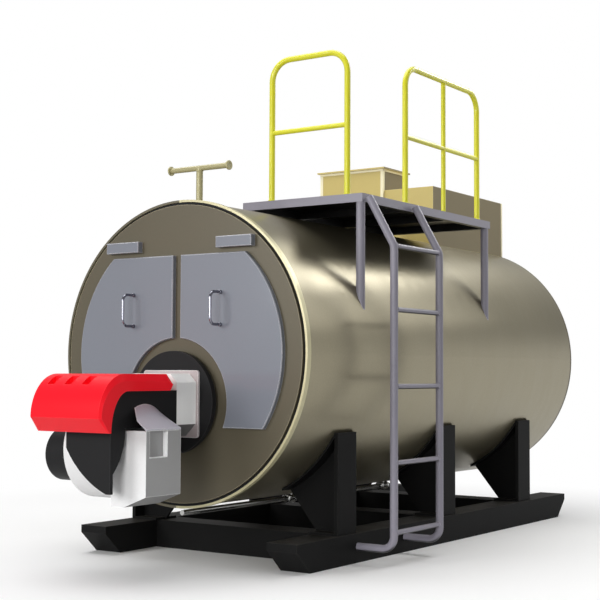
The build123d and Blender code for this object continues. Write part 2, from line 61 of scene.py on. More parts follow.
# %% Measure the drum
shell_low, shell_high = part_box("shell")
rim_low, rim_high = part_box("front_rim")
SHELL_R = (shell_high.x - shell_low.x) / 2
AXIS_Z = (shell_high.z + shell_low.z) / 2
FRONT_Y = rim_low.y
print("drum radius", round(SHELL_R, 3), "axis height", round(AXIS_Z, 3), "front", round(FRONT_Y, 3))

# %% [markdown]
# The camera stands in front of the boiler, a little to its right and below the drum's axis, and
# looks slightly up. A long lens keeps the drum from spreading at the near end. A constraint could
# aim the camera, but it would leave out the small roll, so its place and turn are one matrix.

# %% Camera
LENS_MM, SENSOR_MM = 76.49, 36.0
CAMERA_AT = (5.8936, -9.4215, 1.3737)
TURN, TILT, ROLL = math.radians(34.2148), math.radians(93.2716), math.radians(0.2695)
VIEW_LENGTH = 200.0
camera_data = bpy.data.cameras.new("camera")
camera_data.lens, camera_data.sensor_width = LENS_MM, SENSOR_MM
camera_data.clip_end = VIEW_LENGTH
camera = bpy.data.objects.new("camera", camera_data)
camera.matrix_world = (Matrix.Translation(CAMERA_AT) @ Matrix.Rotation(TURN, 4, "Z")
                       @ Matrix.Rotation(TILT, 4, "X") @ Matrix.Rotation(ROLL, 4, "Z"))
bpy.context.scene.collection.objects.link(camera)
bpy.context.scene.camera = camera
bpy.context.scene.view_settings.view_transform = "Standard"
print("camera", round(Vector(CAMERA_AT).length, 2), "m from the origin, with a lens of", LENS_MM, "mm")

# %% [markdown]
# Materials are graphs of nodes. They can be clicked together in the shader editor, but a script can be
# read, changed and run again. To add a node and fill in its sockets takes several lines, so one
# helper does that, and the sums and noises that come up most have helpers of their own.

# %% Helpers that add nodes


def add(tree, kind, settings=None, **sockets):
    """Adds a node. Settings are its own options. A socket's key is its name, or _ and its number, and
    it gets a number, a colour, a vector or a link."""
    node = tree.nodes.new(kind)
    for key, value in (settings or {}).items():
        setattr(node, key, value)
    for key, value in sockets.items():
        socket = node.inputs[int(key[1:]) if key[1:].isdigit() else key.replace("_", " ")]
        if isinstance(value, bpy.types.NodeSocket):
            tree.links.new(value, socket)
        else:
            socket.default_value = value
    return node


def math_node(tree, operation, first, second=0.0, third=0.0, clamp=False):
    """Adds one sum of numbers and gives its result."""
    settings = {"operation": operation, "use_clamp": clamp}
    return add(tree, "ShaderNodeMath", settings, _0=first, _1=second, _2=third).outputs[0]


def vector_node(tree, operation, first, second):
    """Adds one sum of two vectors. A vector comes out first, and a number comes out at Value."""
    return add(tree, "ShaderNodeVectorMath", {"operation": operation}, _0=first, _1=second)


def mix_colour(tree, factor, first, second):
    """Gives the first colour where the factor is 0 and the second where it is 1."""
    return add(tree, "ShaderNodeMix", {"data_type": "RGBA"}, _0=factor, _6=first, _7=second).outputs[2]


def smooth_step(tree, value, low, high, first=0.0, last=1.0):
    """Runs softly from the first number to the last while the value goes from low to high."""
    return add(tree, "ShaderNodeMapRange", {"interpolation_type": "SMOOTHSTEP"}, Value=value,
               From_Min=low, From_Max=high, To_Min=first, To_Max=last).outputs["Result"]


def noise(tree, place, scale, detail, roughness=0.5):
    """Adds soft noise round 0.5. A larger scale makes it finer."""
    return add(tree, "ShaderNodeTexNoise", Vector=place, Scale=scale, Detail=detail,
               Roughness=roughness).outputs["Fac"]


def object_place(tree):
    """Gives the surface point in the piece's own coordinates, in metres."""
    return add(tree, "ShaderNodeTexCoord").outputs["Object"]


def outward(tree):
    """Gives the direction in which the surface looks."""
    return add(tree, "ShaderNodeNewGeometry").outputs["Normal"]


# %% [markdown]
# A node group is a small graph with named inputs and outputs. The same nodes could be added again in
# every material, but a group is made once, and many materials use it with values of their own.

# %% Helpers for node groups


def new_group(name, inputs, outputs):
    """A node group. Each input is (name, kind, value), each output is (name, kind)."""
    tree = bpy.data.node_groups.new(name, "ShaderNodeTree")
    for label, kind, value in inputs:
        socket = tree.interface.new_socket(name=label, in_out="INPUT", socket_type="NodeSocket" + kind)
        socket.default_value = value
    for label, kind in outputs:
        tree.interface.new_socket(name=label, in_out="OUTPUT", socket_type="NodeSocket" + kind)
    return tree, tree.nodes.new("NodeGroupInput"), tree.nodes.new("NodeGroupOutput")


def use_group(tree, group, **values):
    """Puts a node group into a material."""
    return add(tree, "ShaderNodeGroup", {"node_tree": group}, **values)


# %% [markdown]
# Sprayed paint is never one colour. There are broad clouds where the coat is thicker, and a fine
# speckle from the spray and from the blasted steel under it. A painted picture could show that, but
# noise has no seams and no end. One group gives both from noise in two sizes, and puts out a
# height that each material turns into a bump.

# %% Paint skin group
CLOUD_SCALE, NOISE_MIDDLE = 1.7, 0.5
skin, given, result = new_group(
    "paint skin",
    [("Colour", "Color", (0.5, 0.5, 0.5, 1)), ("Clouds", "Float", 0.05), ("Speckle", "Float", 0.04),
     ("Speckle scale", "Float", 120.0), ("Roughness", "Float", 0.4), ("Unevenness", "Float", 0.06)],
    [("Colour", "Color"), ("Roughness", "Float"), ("Height", "Float")])
where = object_place(skin)
broad = noise(skin, where, CLOUD_SCALE, detail=4.0, roughness=0.55)
fine = noise(skin, where, given.outputs["Speckle scale"], detail=3.0, roughness=0.6)
broad_swing = math_node(skin, "SUBTRACT", broad, NOISE_MIDDLE)
fine_swing = math_node(skin, "SUBTRACT", fine, NOISE_MIDDLE)
cloud = math_node(skin, "MULTIPLY", broad_swing, given.outputs["Clouds"])
spot = math_node(skin, "MULTIPLY", fine_swing, given.outputs["Speckle"])
level = math_node(skin, "MULTIPLY_ADD", math_node(skin, "ADD", cloud, spot), 1.0 / NOISE_MIDDLE, 1.0)
tint = add(skin, "ShaderNodeVectorMath", {"operation": "SCALE"}, _0=given.outputs["Colour"], Scale=level)
rough = math_node(skin, "MULTIPLY_ADD", broad_swing, given.outputs["Unevenness"],
                  given.outputs["Roughness"], clamp=True)
skin.links.new(tint.outputs[0], result.inputs["Colour"])
skin.links.new(rough, result.inputs["Roughness"])
skin.links.new(fine, result.inputs["Height"])
print(skin.name, "has", len(skin.nodes), "nodes")

# %% [markdown]
# On the real boiler the edges of sheets and plates are a little lighter, because paint is thin
# there and hands and straps rub it. Here the lighter edges are also a painted highlight, where edges
# would catch the light, and on the grey parts and the doors that highlight is nearly white. Edges
# could be picked and painted one by one. The Bevel node finds them all: it gives the normal that a
# rounded edge would have, and where that leans away from the true normal there is an edge, so their
# dot product makes a mask.

# %% Edge wear and highlight group
EDGE_GAIN = 6.0
PATCH_SCALE, PATCH_SWING, PATCH_LEAST = 14.0, 0.9, 0.35
wear_and_highlight, given, result = new_group(
    "edge wear", [("Radius", "Float", 0.006), ("Amount", "Float", 0.5)], [("Mask", "Float")])
rounded = add(wear_and_highlight, "ShaderNodeBevel", {"samples": 4}, Radius=given.outputs["Radius"]).outputs["Normal"]
likeness = vector_node(wear_and_highlight, "DOT_PRODUCT", rounded, outward(wear_and_highlight)).outputs["Value"]
edge = math_node(wear_and_highlight, "MULTIPLY", math_node(wear_and_highlight, "SUBTRACT", 1.0, likeness), EDGE_GAIN, clamp=True)
patchy = noise(wear_and_highlight, object_place(wear_and_highlight), PATCH_SCALE, detail=3.0)
patchy = math_node(wear_and_highlight, "MULTIPLY_ADD", patchy, PATCH_SWING, PATCH_LEAST, clamp=True)
# The mask marks worn edges and painted highlight alike.
mask = math_node(wear_and_highlight, "MULTIPLY", math_node(wear_and_highlight, "MULTIPLY", edge, patchy), given.outputs["Amount"])
wear_and_highlight.links.new(mask, result.inputs["Mask"])
print(wear_and_highlight.name, "has", len(wear_and_highlight.nodes), "nodes")

# %% [markdown]
# Dust settles on faces that look up, thickest where nobody touches. It could be brushed on by hand, but
# the up part of the normal already says where it lies. Noise breaks it up.

# %% Settled dust group
DUST_FROM, DUST_FULL, DRIFT_SCALE = 0.6, 1.0, 6.0
dust, given, result = new_group("settled dust", [("Amount", "Float", 0.1)], [("Mask", "Float")])
upward = add(dust, "ShaderNodeSeparateXYZ", _0=outward(dust)).outputs["Z"]
upward = smooth_step(dust, upward, DUST_FROM, DUST_FULL)
drift = noise(dust, object_place(dust), DRIFT_SCALE, detail=5.0)
mask = math_node(dust, "MULTIPLY", math_node(dust, "MULTIPLY", upward, drift), given.outputs["Amount"])
dust.links.new(mask, result.inputs["Mask"])
print(dust.name, "has", len(dust.nodes), "nodes")

# %% [markdown]
# The underside of the platform gets a nearly black painted shade, and the tan boxes get a browner
# painted shade on their right sides. Those faces could be picked and given a second material. But they
# are all the faces that look along one direction, so a mask from the normal finds them by itself.

# %% Direction group
LOOK_FROM, LOOK_FULL = 0.35, 0.8
# This mask places painted shade on faces that look along one direction.
toward, given, result = new_group("facing a direction", [("Direction", "Vector", (0, 0, -1))],
                                  [("Mask", "Float")])
look = vector_node(toward, "DOT_PRODUCT", outward(toward), given.outputs["Direction"]).outputs["Value"]
look = smooth_step(toward, look, LOOK_FROM, LOOK_FULL)
toward.links.new(look, result.inputs["Mask"])
print(toward.name, "has", len(toward.nodes), "nodes")

# %% [markdown]
# The intake box carries a cowl on top, which gets a darker, bluish painted shade from the hood above
# it, and both are one solid in the CAD. It could be cut in two, but a mask that switches at a height
# gives the same line and leaves the mesh as it is.

# %% Height group
# This mask places the cowl's painted shade above a height.
above, given, result = new_group("above a height", [("Height", "Float", 1.0), ("Blend", "Float", 0.004)],
                                 [("Mask", "Float")])
place = add(above, "ShaderNodeSeparateXYZ", _0=object_place(above)).outputs["Z"]
step = math_node(above, "DIVIDE", math_node(above, "SUBTRACT", place, given.outputs["Height"]),
                 given.outputs["Blend"], clamp=True)
above.links.new(step, result.inputs["Mask"])
print(above.name, "has", len(above.nodes), "nodes")

# %% [markdown]
# The space between the platform's joists gets hardly any light, so it gets a nearly black painted
# shade, and one half of the drum's rim gets a brown painted shade. The meshes could be cut there, but a
# mask leaves them whole. A point lies in a box when it is above the low corner and under the high
# corner in all three directions, so the smallest of those six distances says whether it is inside.

# %% Box group
within, given, result = new_group(
    "inside a box", [("Low", "Vector", (0, 0, 0)), ("High", "Vector", (1, 1, 1))], [("Mask", "Float")])
where = object_place(within)
past_low = vector_node(within, "SUBTRACT", where, given.outputs["Low"]).outputs[0]
past_high = vector_node(within, "SUBTRACT", given.outputs["High"], where).outputs[0]
nearer = vector_node(within, "MINIMUM", past_low, past_high).outputs[0]
nearer = add(within, "ShaderNodeSeparateXYZ", _0=nearer)
least = math_node(within, "MINIMUM", nearer.outputs["X"], nearer.outputs["Y"])
least = math_node(within, "MINIMUM", least, nearer.outputs["Z"])
within.links.new(math_node(within, "GREATER_THAN", least, 0.0), result.inputs["Mask"])
print(within.name, "has", len(within.nodes), "nodes")

# %% [markdown]
# Thin sheet that is rolled round a drum never lies quite even. Shallow waves, a hand's width to an
# arm's length across, bend what it mirrors. The mesh could be bent, but then it would no longer be the
# CAD's. The waves are one more height for a bump instead, from slow noise that is drawn out round
# the drum, because rolling leaves them that way.

# %% Rolled sheet group
DRAWN_OUT = (0.7, 1.5, 0.7)
waves, given, result = new_group("rolled sheet", [("Scale", "Float", 2.4)], [("Height", "Float")])
drawn = vector_node(waves, "MULTIPLY", object_place(waves), DRAWN_OUT).outputs[0]
slow = noise(waves, drawn, given.outputs["Scale"], detail=2.0, roughness=0.45)
waves.links.new(slow, result.inputs["Height"])
print(waves.name, "has", len(waves.nodes), "nodes")

# %% [markdown]
# Colours are easiest to think of as the three numbers from 0 to 255 that a screen shows. Shaders
# calculate with linear light. The numbers could be turned into that by hand, but a helper with the
# usual curve for screens does it without slips.

# %% Colours


def colour(red, green, blue):
    """Turns a screen colour, 0 to 255, into the linear values that nodes use."""
    def linear(value):
        value /= 255
        return value / 12.92 if value <= 0.04045 else ((value + 0.055) / 1.055) ** 2.4
    return (linear(red), linear(green), linear(blue), 1.0)


WHITE, DUST_COLOUR = colour(255, 255, 255), colour(176, 170, 158)
print("dust of 176 is", round(DUST_COLOUR[0], 3), "in linear light")

# %% [markdown]
# A finish is one material. Each could be built node by node, but all the boiler's paints are made
# alike, so one function puts the groups together. The skin gives the colour. Masks then lay other
# colours over it: painted shade on faces that look one way, above a height or in a box, worn edges
# with a painted highlight, and dust. The fine noise becomes a bump, and where there is a wobble the
# waves of rolled sheet are added. Numbers that are the same all over a piece, such as metal and coat,
# sit on the shader itself.

# %% One painted finish
EDGE_BRIGHTER, EDGE_LIFT = 1.9, 0.03


def painted(name, base, roughness=0.4, metal=0.0, specular=0.5, coat=0.0, coat_rough=0.08, clouds=0.05,
            speckle=0.04, scale=120.0, bump=0.1, bump_size=0.0006, edge=0.35, edge_radius=0.006,
            edge_colour=None, dust_amount=0.12, facing=(), upper=None, inner=None, wobble=0.0):
    """One material. Facing holds pairs of a direction and the colour of faces that look along it.
    Upper is a height and the colour above it. Inner is a box, by two corners, and the colour in it."""
    material = bpy.data.materials.new(name)
    material.use_nodes = True
    tree = material.node_tree
    shader = tree.nodes["Principled BSDF"]
    body = use_group(tree, skin, Colour=base, Clouds=clouds, Speckle=speckle, Speckle_scale=scale,
                     Roughness=roughness)
    layers = [(use_group(tree, toward, Direction=direction), other) for direction, other in facing]
    if upper:
        layers.append((use_group(tree, above, Height=upper[0]), upper[1]))
    if inner:
        layers.append((use_group(tree, within, Low=inner[0], High=inner[1]), inner[2]))
    if edge:
        lighter = tuple(min(1.0, part * EDGE_BRIGHTER + EDGE_LIFT) for part in base[:3]) + (1.0,)
        layers.append((use_group(tree, wear_and_highlight, Radius=edge_radius, Amount=edge), edge_colour or lighter))
    if dust_amount:
        layers.append((use_group(tree, dust, Amount=dust_amount), DUST_COLOUR))
    tone = body.outputs["Colour"]
    for mask, other in layers:
        tone = mix_colour(tree, mask.outputs["Mask"], tone, other)
    relief = add(tree, "ShaderNodeBump", Height=body.outputs["Height"], Strength=bump, Distance=bump_size)
    if wobble:
        relief = add(tree, "ShaderNodeBump", Height=use_group(tree, waves).outputs["Height"], Strength=1.0,
                     Distance=wobble, Normal=relief.outputs["Normal"])
    tree.links.new(tone, shader.inputs["Base Color"])
    tree.links.new(body.outputs["Roughness"], shader.inputs["Roughness"])
    tree.links.new(relief.outputs["Normal"], shader.inputs["Normal"])
    shader.inputs["Metallic"].default_value = metal
    shader.inputs["Specular IOR Level"].default_value = specular
    shader.inputs["Coat Weight"].default_value = coat
    shader.inputs["Coat Roughness"].default_value = coat_rough
    return material


# %% [markdown]
# The drum is clad in sheet with an olive metallic lacquer. Plain paint with a gloss would show each
# lamp as a sharp patch. Nearly full metal with some roughness spreads them into broad bands, as on
# the real sheet. The rim is bright trim, with a brown painted shade on the left half of its front
# face. A shade in front of the lamps could do that, but a box mask changes nothing else. The front
# plate is satin paint, with a pale painted highlight along its edges.

# %% Finishes of the drum
FAR_OFF = 5.0
RIM_SHADE_X, RIM_FACE_DEPTH = -0.02, 0.004
# The left half of the rim's front face gets a brown painted shade.
rim_left_painted_shade = ((-FAR_OFF, -FAR_OFF, 0.0), (RIM_SHADE_X, FRONT_Y + RIM_FACE_DEPTH, FAR_OFF))
finishes = {
    "olive_metal": painted("olive metal", colour(143, 136, 114), roughness=0.33, metal=0.85, clouds=0.05,
                           speckle=0.12, scale=95.0, bump=0.4, bump_size=0.0012, edge=0.0,
                           dust_amount=0.04, wobble=0.005),
    "trim_metal": painted("bright trim", colour(192, 185, 148), roughness=0.3, metal=0.3, speckle=0.03,
                          edge=0.0, inner=(*rim_left_painted_shade, colour(96, 90, 72))),
    # The front plate's pale edges are a painted highlight.
    "front_paint": painted("front plate paint", colour(91, 85, 70), metal=0.15, specular=0.2, coat=0.1,
                           coat_rough=0.25, clouds=0.07, speckle=0.07, scale=90.0, bump=0.25,
                           dust_amount=0.0, edge=0.8, edge_radius=0.010,
                           edge_colour=colour(180, 170, 140)),
}
print(", ".join(finishes))

# %% [markdown]
# The two doors are a cool grey under a clear coat, and their handles are polished rods. A lower
# roughness would also give a gloss, but the paint's own soft sheen would be lost. So the coat is the
# shader's second layer.

# %% Finishes of the doors
# The doors' near-white edges are a painted highlight.
finishes["door_paint"] = painted("door paint", colour(116, 120, 129), metal=0.05, specular=0.3, coat=0.5,
                                 clouds=0.03, speckle=0.05, edge=1.0, edge_radius=0.007,
                                 edge_colour=colour(230, 228, 230))
finishes["chrome"] = painted("polished handle", colour(132, 132, 142), roughness=0.14, metal=1.0,
                             speckle=0.02, bump=0.03, edge=0.0)
print(len(finishes), "finishes so far")

# %% [markdown]
# The platform and the ladder are grey steelwork, with a near-black painted shade on the faces that
# look down. The guard rails are safety yellow, and the skid and its saddles are black. Colours alone
# would tell them apart. A little coat on the grey and the yellow, and none on the black, also sets
# them apart under the same lamps. The rails have no dust, because it would dull the yellow.

# %% Finishes of the steelwork
DOWN, RIGHT = (0, 0, -1), (1, 0, 0)
FRAME_GREY = colour(132, 129, 140)
frame_coat = {"roughness": 0.42, "specular": 0.3, "coat": 0.1, "coat_rough": 0.2, "speckle": 0.07}
# Faces that look down get a near-black painted shade.
finishes["frame_paint"] = painted("frame paint", FRAME_GREY, **frame_coat, edge=0.8,
                                  edge_colour=colour(205, 200, 215), facing=((DOWN, colour(5, 5, 5)),))
finishes["rail_paint"] = painted("safety yellow", colour(216, 213, 44), roughness=0.3, specular=0.3,
                                 coat=0.25, clouds=0.03, speckle=0.02, bump=0.02, edge=0.0,
                                 dust_amount=0.0)
finishes["black_paint"] = painted("skid black", colour(23, 23, 23), roughness=0.55, specular=0.06,
                                  speckle=0.1, edge=0.4, edge_colour=colour(64, 63, 60),
                                  dust_amount=0.10)
print(len(finishes), "finishes so far")

# %% [markdown]
# The burner has a grained black body, a red moulded hood and pale grey metal parts. A grain could be
# modelled, but it is far smaller than a pixel here, so a coarser speckle stands for it. The edges of
# the grey parts get a white painted highlight, and those of the hood a pale red one.

# %% Finishes of the burner
finishes["burner_black"] = painted("burner black", colour(31, 31, 32), roughness=0.45, specular=0.10,
                                   speckle=0.14, scale=220.0, edge=0.5, edge_colour=colour(84, 84, 86),
                                   dust_amount=0.04)
# The hood's pale red edges are a painted highlight.
finishes["hood_red"] = painted("hood red", colour(250, 22, 38), roughness=0.35, specular=0.1, coat=0.1,
                               clouds=0.02, speckle=0.015, scale=60.0, bump=0.08, edge=0.5,
                               edge_colour=colour(255, 90, 98), dust_amount=0.0)
grey_coat = {"specular": 0.3, "coat": 0.15, "coat_rough": 0.15, "edge_colour": WHITE}
# The white edges of the grey parts are a painted highlight.
finishes["light_grey"] = painted("burner grey", colour(232, 232, 232), **grey_coat, edge=1.0,
                                 edge_radius=0.008)
print(len(finishes), "finishes so far")

# %% [markdown]
# The boxes on top are tan, with a browner painted shade on their right sides. The vent tee is khaki,
# and the drain line is bright steel pipe. These are the same kind of paint and metal as before, so the
# function needs only other numbers.

# %% Finishes of the boxes and pipes
# The browner tone on the right sides is a painted shade.
finishes["box_tan"] = painted("box tan", colour(196, 178, 112), roughness=0.42, specular=0.25,
                              speckle=0.06, clouds=0.08, edge=0.6, edge_radius=0.008,
                              edge_colour=colour(236, 228, 190), facing=((RIGHT, colour(122, 112, 86)),))
finishes["tee_brass"] = painted("pipe khaki", colour(164, 157, 116), roughness=0.36, metal=0.1,
                                specular=0.3, coat=0.15, speckle=0.04, edge=0.4)
finishes["drain_steel"] = painted("drain steel", colour(178, 178, 176), roughness=0.2, metal=0.95,
                                  speckle=0.05, edge=0.3)
print(len(finishes), "finishes, one for each slot of the record")

# %% [markdown]
# A few pieces share a slot but differ in tone. The intake box has a darker painted shade on its cowl
# and on its right and lower sides. The burner's flange is a warmer, darker grey, a painted reflection
# of the red hood with painted shade, and its neck is a nearly white copy of the grey as painted light,
# with a dark painted shade on its belly. The platform gets a black painted shade inside, between its
# joists. Two more finishes are for pieces that are made further on, a white painted highlight and a
# trim. Each could have a slot of its own, but the slot says the kind of paint, and that is the same.

# %% Finishes of single pieces
COWL_FOOT_Z = AXIS_Z - 0.521
# Painted shade: darker on the cowl and on the right and lower sides.
intake_grey = painted("intake grey", colour(230, 230, 230), **grey_coat, speckle=0.05, edge=1.0,
                      edge_radius=0.008, upper=(COWL_FOOT_Z, colour(196, 194, 205)),
                      facing=((RIGHT, colour(160, 160, 160)), (DOWN, colour(120, 120, 120))))
BAR_SHOWN, DECK_MARGIN = 0.034, 0.001
deck_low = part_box("platform_deck")[0]
frame_low, frame_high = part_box("platform_frame")
between_joists = ((-FAR_OFF, frame_low.y + BAR_SHOWN, 0.0),
                  (frame_high.x - BAR_SHOWN, frame_high.y - BAR_SHOWN, deck_low.z + DECK_MARGIN))
UNLIT = colour(3, 3, 3)
# Black painted shade between the joists and on faces that look down.
platform_grey = painted("platform paint", FRAME_GREY, **frame_coat, edge=0.0, facing=((DOWN, UNLIT),),
                        inner=(*between_joists, UNLIT))
# The flange's warm, darker grey is a painted reflection of the red hood, with painted shade.
flange_grey = painted("flange grey", colour(176, 164, 164), **grey_coat, edge=1.0, edge_radius=0.010)
# The neck's near-white base is painted light, and its dark belly a painted shade.
neck_grey = painted("neck grey", colour(252, 252, 250), **grey_coat, edge=0.6,
                    facing=((DOWN, colour(24, 24, 24)),))
# White painted highlight for the strips in the intake box's panel.
panel_highlight_white = painted("panel painted highlight white", WHITE, speckle=0.0, edge=0.0, dust_amount=0.0)
box_trim = painted("box corner trim", colour(238, 230, 196), speckle=0.03, edge=0.0)
print(len(bpy.data.materials), "materials in all")

# %% [markdown]
# Each piece now gets its finish. It could be chosen by hand for all of them, but the record already
# names a slot for each piece, so only the five exceptions are listed.

# %% Paint the pieces
special = {"intake_box": intake_grey, "burner_flange": flange_grey, "burner_neck": neck_grey,
           "platform_frame": platform_grey, "platform_deck": platform_grey}
for name, node in nodes.items():
    node.data.materials.clear()
    node.data.materials.append(special.get(name, finishes[slot_of[name]]))
print(len(finishes), "finishes on", len(nodes), "pieces, and", len(special), "pieces with their own")

# %% [markdown]
# The small pieces are modelled with bmesh. They could be made with the mouse, but bmesh gives each
# point a place that can be worked out from the CAD's boxes. One helper turns a finished bmesh into an
# object, gives it a finish, which is the slot's unless another is given, and lets it ride on the
# boiler's one body. Edges sharper than an angle stay crisp and the rest is shaded smooth.

# %% Keeping a piece
SHARP_ANGLE, SAME_POINT = math.radians(40.0), 0.00002


def keep(name, bm, slot, finish=None):
    """Makes an object of a bmesh, with its place in its mesh."""
    bmesh.ops.remove_doubles(bm, verts=bm.verts, dist=SAME_POINT)
    bmesh.ops.recalc_face_normals(bm, faces=bm.faces)
    for face in bm.faces:
        face.smooth = True
    for line in bm.edges:
        if len(line.link_faces) == 2 and line.calc_face_angle(0.0) > SHARP_ANGLE:
            line.smooth = False
    mesh = bpy.data.meshes.new(name)
    bm.to_mesh(mesh)
    bm.free()
    mesh.materials.append(finish or finishes[slot])
    piece = bpy.data.objects.new(name, mesh)
    bpy.context.scene.collection.objects.link(piece)
    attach(piece, "root")
    print(name, "has", len(mesh.polygons), "faces")


# %% [markdown]
# Rings, sleeves and caps are turned on a lathe. In Blender a Screw modifier could do that. Spin does
# the same on a bmesh at once: it carries an outline round an axis and joins the end to the start. A
# second helper copies one bmesh into another, so that several turned parts make one piece.

# %% Turning a shape


def turned(profile, centre, axis, steps=48):
    """Turns an outline round an axis. The outline is pairs of (distance from the axis, place along it)."""
    bm = bmesh.new()
    axis = Vector(axis).normalized()
    side = axis.orthogonal().normalized()
    points = [bm.verts.new(Vector(centre) + side * away + axis * along) for away, along in profile]
    lines = [bm.edges.new((points[i], points[(i + 1) % len(points)])) for i in range(len(points))]
    bmesh.ops.spin(bm, geom=points + lines, cent=centre, axis=axis, angle=math.tau, steps=steps,
                   use_merge=True)
    return bm


def add_part(bm, part):
    """Copies a finished bmesh into another one, and frees it."""
    shape = bpy.data.meshes.new("part")
    part.to_mesh(shape)
    part.free()
    bm.from_mesh(shape)
    bpy.data.meshes.remove(shape)


# %% [markdown]
# Between the front plate and the bright rim runs a dark joint. On the real boiler it is a seal that
# lets the plate grow with heat. A black line could be painted there, but the joint lies back a
# little and takes a shadow. So it is a flat ring, turned from a small rectangle with cut corners.

# %% Joint round the front plate
plate_low, plate_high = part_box("front_plate")
PLATE_R = (plate_high.x - plate_low.x) / 2
SEAL_IN, SEAL_OUT = PLATE_R + 0.001, PLATE_R + 0.019
SEAL_BACK, SEAL_FACE, SEAL_CUT = rim_high.y - FRONT_Y - 0.001, 0.012, 0.003
seal = turned([(SEAL_IN, SEAL_BACK), (SEAL_IN, SEAL_FACE + SEAL_CUT), (SEAL_IN + SEAL_CUT, SEAL_FACE),
               (SEAL_OUT - SEAL_CUT, SEAL_FACE), (SEAL_OUT, SEAL_FACE + SEAL_CUT), (SEAL_OUT, SEAL_BACK)],
              (0, FRONT_Y, AXIS_Z), (0, 1, 0), steps=160)
keep("front_seal", seal, "burner_black")

# %% [markdown]
# The two door handles are bent rods. Each end sits in a short sleeve that is welded to the door. A plain
# cylinder would do from afar, but its rim would be a sharp line. So a sleeve is a small ring, turned
# round the rod with its outer edge cut off.

# %% Sleeves at the handles' feet
SLEEVE_LENGTH, SLEEVE_WALL, SLEEVE_CUT = 0.022, 0.0045, 0.0018
SNUG, SLEEVE_LIFT = 0.98, 0.0002
for side in ("left", "right"):
    low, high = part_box("door_handle_" + side)
    rod = (high.x - low.x) / 2
    bore, outside = rod * SNUG, rod + SLEEVE_WALL
    feet = bmesh.new()
    for z in (low.z + rod, high.z - rod):
        foot = ((low.x + high.x) / 2, high.y - SLEEVE_LIFT, z)
        add_part(feet, turned([(bore, 0.0), (outside, 0.0), (outside, SLEEVE_LENGTH - SLEEVE_CUT),
                               (outside - SLEEVE_CUT, SLEEVE_LENGTH), (bore, SLEEVE_LENGTH)],
                              foot, (0, -1, 0), steps=32))
    keep("handle_sleeves_" + side, feet, "chrome")

# %% [markdown]
# The intake box has a sunk panel in its right side. Its lower and its rear edge catch the light as a
# white corner, so they are lined with thin white strips as a painted highlight. Their thickness shows
# more than their fold, so each strip is a thin block and not a bent sheet.

# %% Painted highlight strips in the intake box's panel
PANEL_IN, PANEL_OUT = 0.360, 0.3965
PANEL_FRONT_Y, PANEL_REAR_Y = -3.070, -2.890
PANEL_LOW_Z, PANEL_HIGH_Z = AXIS_Z - 0.698, COWL_FOOT_Z - 0.012
LINE_W, LINE_GAP, LINE_END_GAP = 0.004, 0.0005, 0.002


def add_block(bm, low, high):
    """Adds a block between two corners."""
    size = Vector(high) - Vector(low)
    place = Matrix.Translation((Vector(low) + Vector(high)) / 2) @ Matrix.Diagonal((*size, 1.0))
    bmesh.ops.create_cube(bm, size=1.0, matrix=place)


# Two thin white blocks: a painted highlight on the panel's lit inner faces.
panel_highlight = bmesh.new()
add_block(panel_highlight, (PANEL_IN, PANEL_REAR_Y - LINE_W, PANEL_LOW_Z),
          (PANEL_OUT, PANEL_REAR_Y - LINE_GAP, PANEL_HIGH_Z))
add_block(panel_highlight, (PANEL_IN, PANEL_FRONT_Y + LINE_END_GAP, PANEL_LOW_Z + LINE_GAP),
          (PANEL_OUT, PANEL_REAR_Y - LINE_GAP, PANEL_LOW_Z + LINE_W))
keep("panel_highlight_strips", panel_highlight, "light_grey", finish=panel_highlight_white)

# %% [markdown]
# Tubes are joined by welds. A weld bead is a thin ring of metal round the end of one tube, a little
# uneven from the welder's hand. A torus would be too perfect, so one function spins a small circle
# round the tube's axis and then moves the ring's points in and out by a wave.

# %% A weld bead
BEAD_R, BEAD_SIDES, BEAD_STEPS = 0.0055, 8, 40
OUT_SWING, OUT_WAVES = 0.0012, 9
ALONG_SWING, ALONG_WAVES, ALONG_SHIFT = 0.0008, 7, 1


def add_bead(bm, centre, axis, radius, bead=BEAD_R):
    """Adds a weld ring of the given radius round an axis."""
    centre, axis = Vector(centre), Vector(axis).normalized()
    side = axis.orthogonal().normalized()
    before = set(bm.verts)
    made = bmesh.ops.create_circle(bm, segments=BEAD_SIDES, radius=bead)["verts"]
    turn = Matrix((side, axis, side.cross(axis))).transposed().to_4x4()
    bmesh.ops.transform(bm, matrix=Matrix.Translation(centre + side * radius) @ turn, verts=made)
    lines = list(dict.fromkeys(line for vert in made for line in vert.link_edges))
    bmesh.ops.spin(bm, geom=made + lines, cent=centre, axis=axis, angle=math.tau, steps=BEAD_STEPS,
                   use_merge=True)
    for vert in set(bm.verts) - before:
        off = vert.co - centre
        flat = off - axis * off.dot(axis)
        angle = math.atan2(flat.dot(axis.cross(side)), flat.dot(side))
        outwards = flat.normalized() * OUT_SWING * math.sin(OUT_WAVES * angle)
        vert.co += outwards + axis * ALONG_SWING * math.sin(ALONG_WAVES * angle + ALONG_SHIFT)


print("a weld bead is", round(2 * BEAD_R, 4), "m thick")

# %% [markdown]
# The ladder's rungs are welded between the two stringers, and the rails' posts stand in welds on the
# deck. The joints could be listed as numbers, but each is at the end of a tube, so its place comes
# from the box of the CAD's own tube.

# %% Welds on the ladder and the rails
RUNGS, RUNG_WELD_IN, POST_WELD_UP = 5, 0.0075, 0.003
ladder_welds = bmesh.new()
for number in range(1, RUNGS + 1):
    low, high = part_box(f"ladder_rung_{number}")
    rung_r = (high.z - low.z) / 2
    for y in (low.y + RUNG_WELD_IN, high.y - RUNG_WELD_IN):
        add_bead(ladder_welds, ((low.x + high.x) / 2, y, (low.z + high.z) / 2), (0, 1, 0), rung_r)
keep("ladder_welds", ladder_welds, "frame_paint")

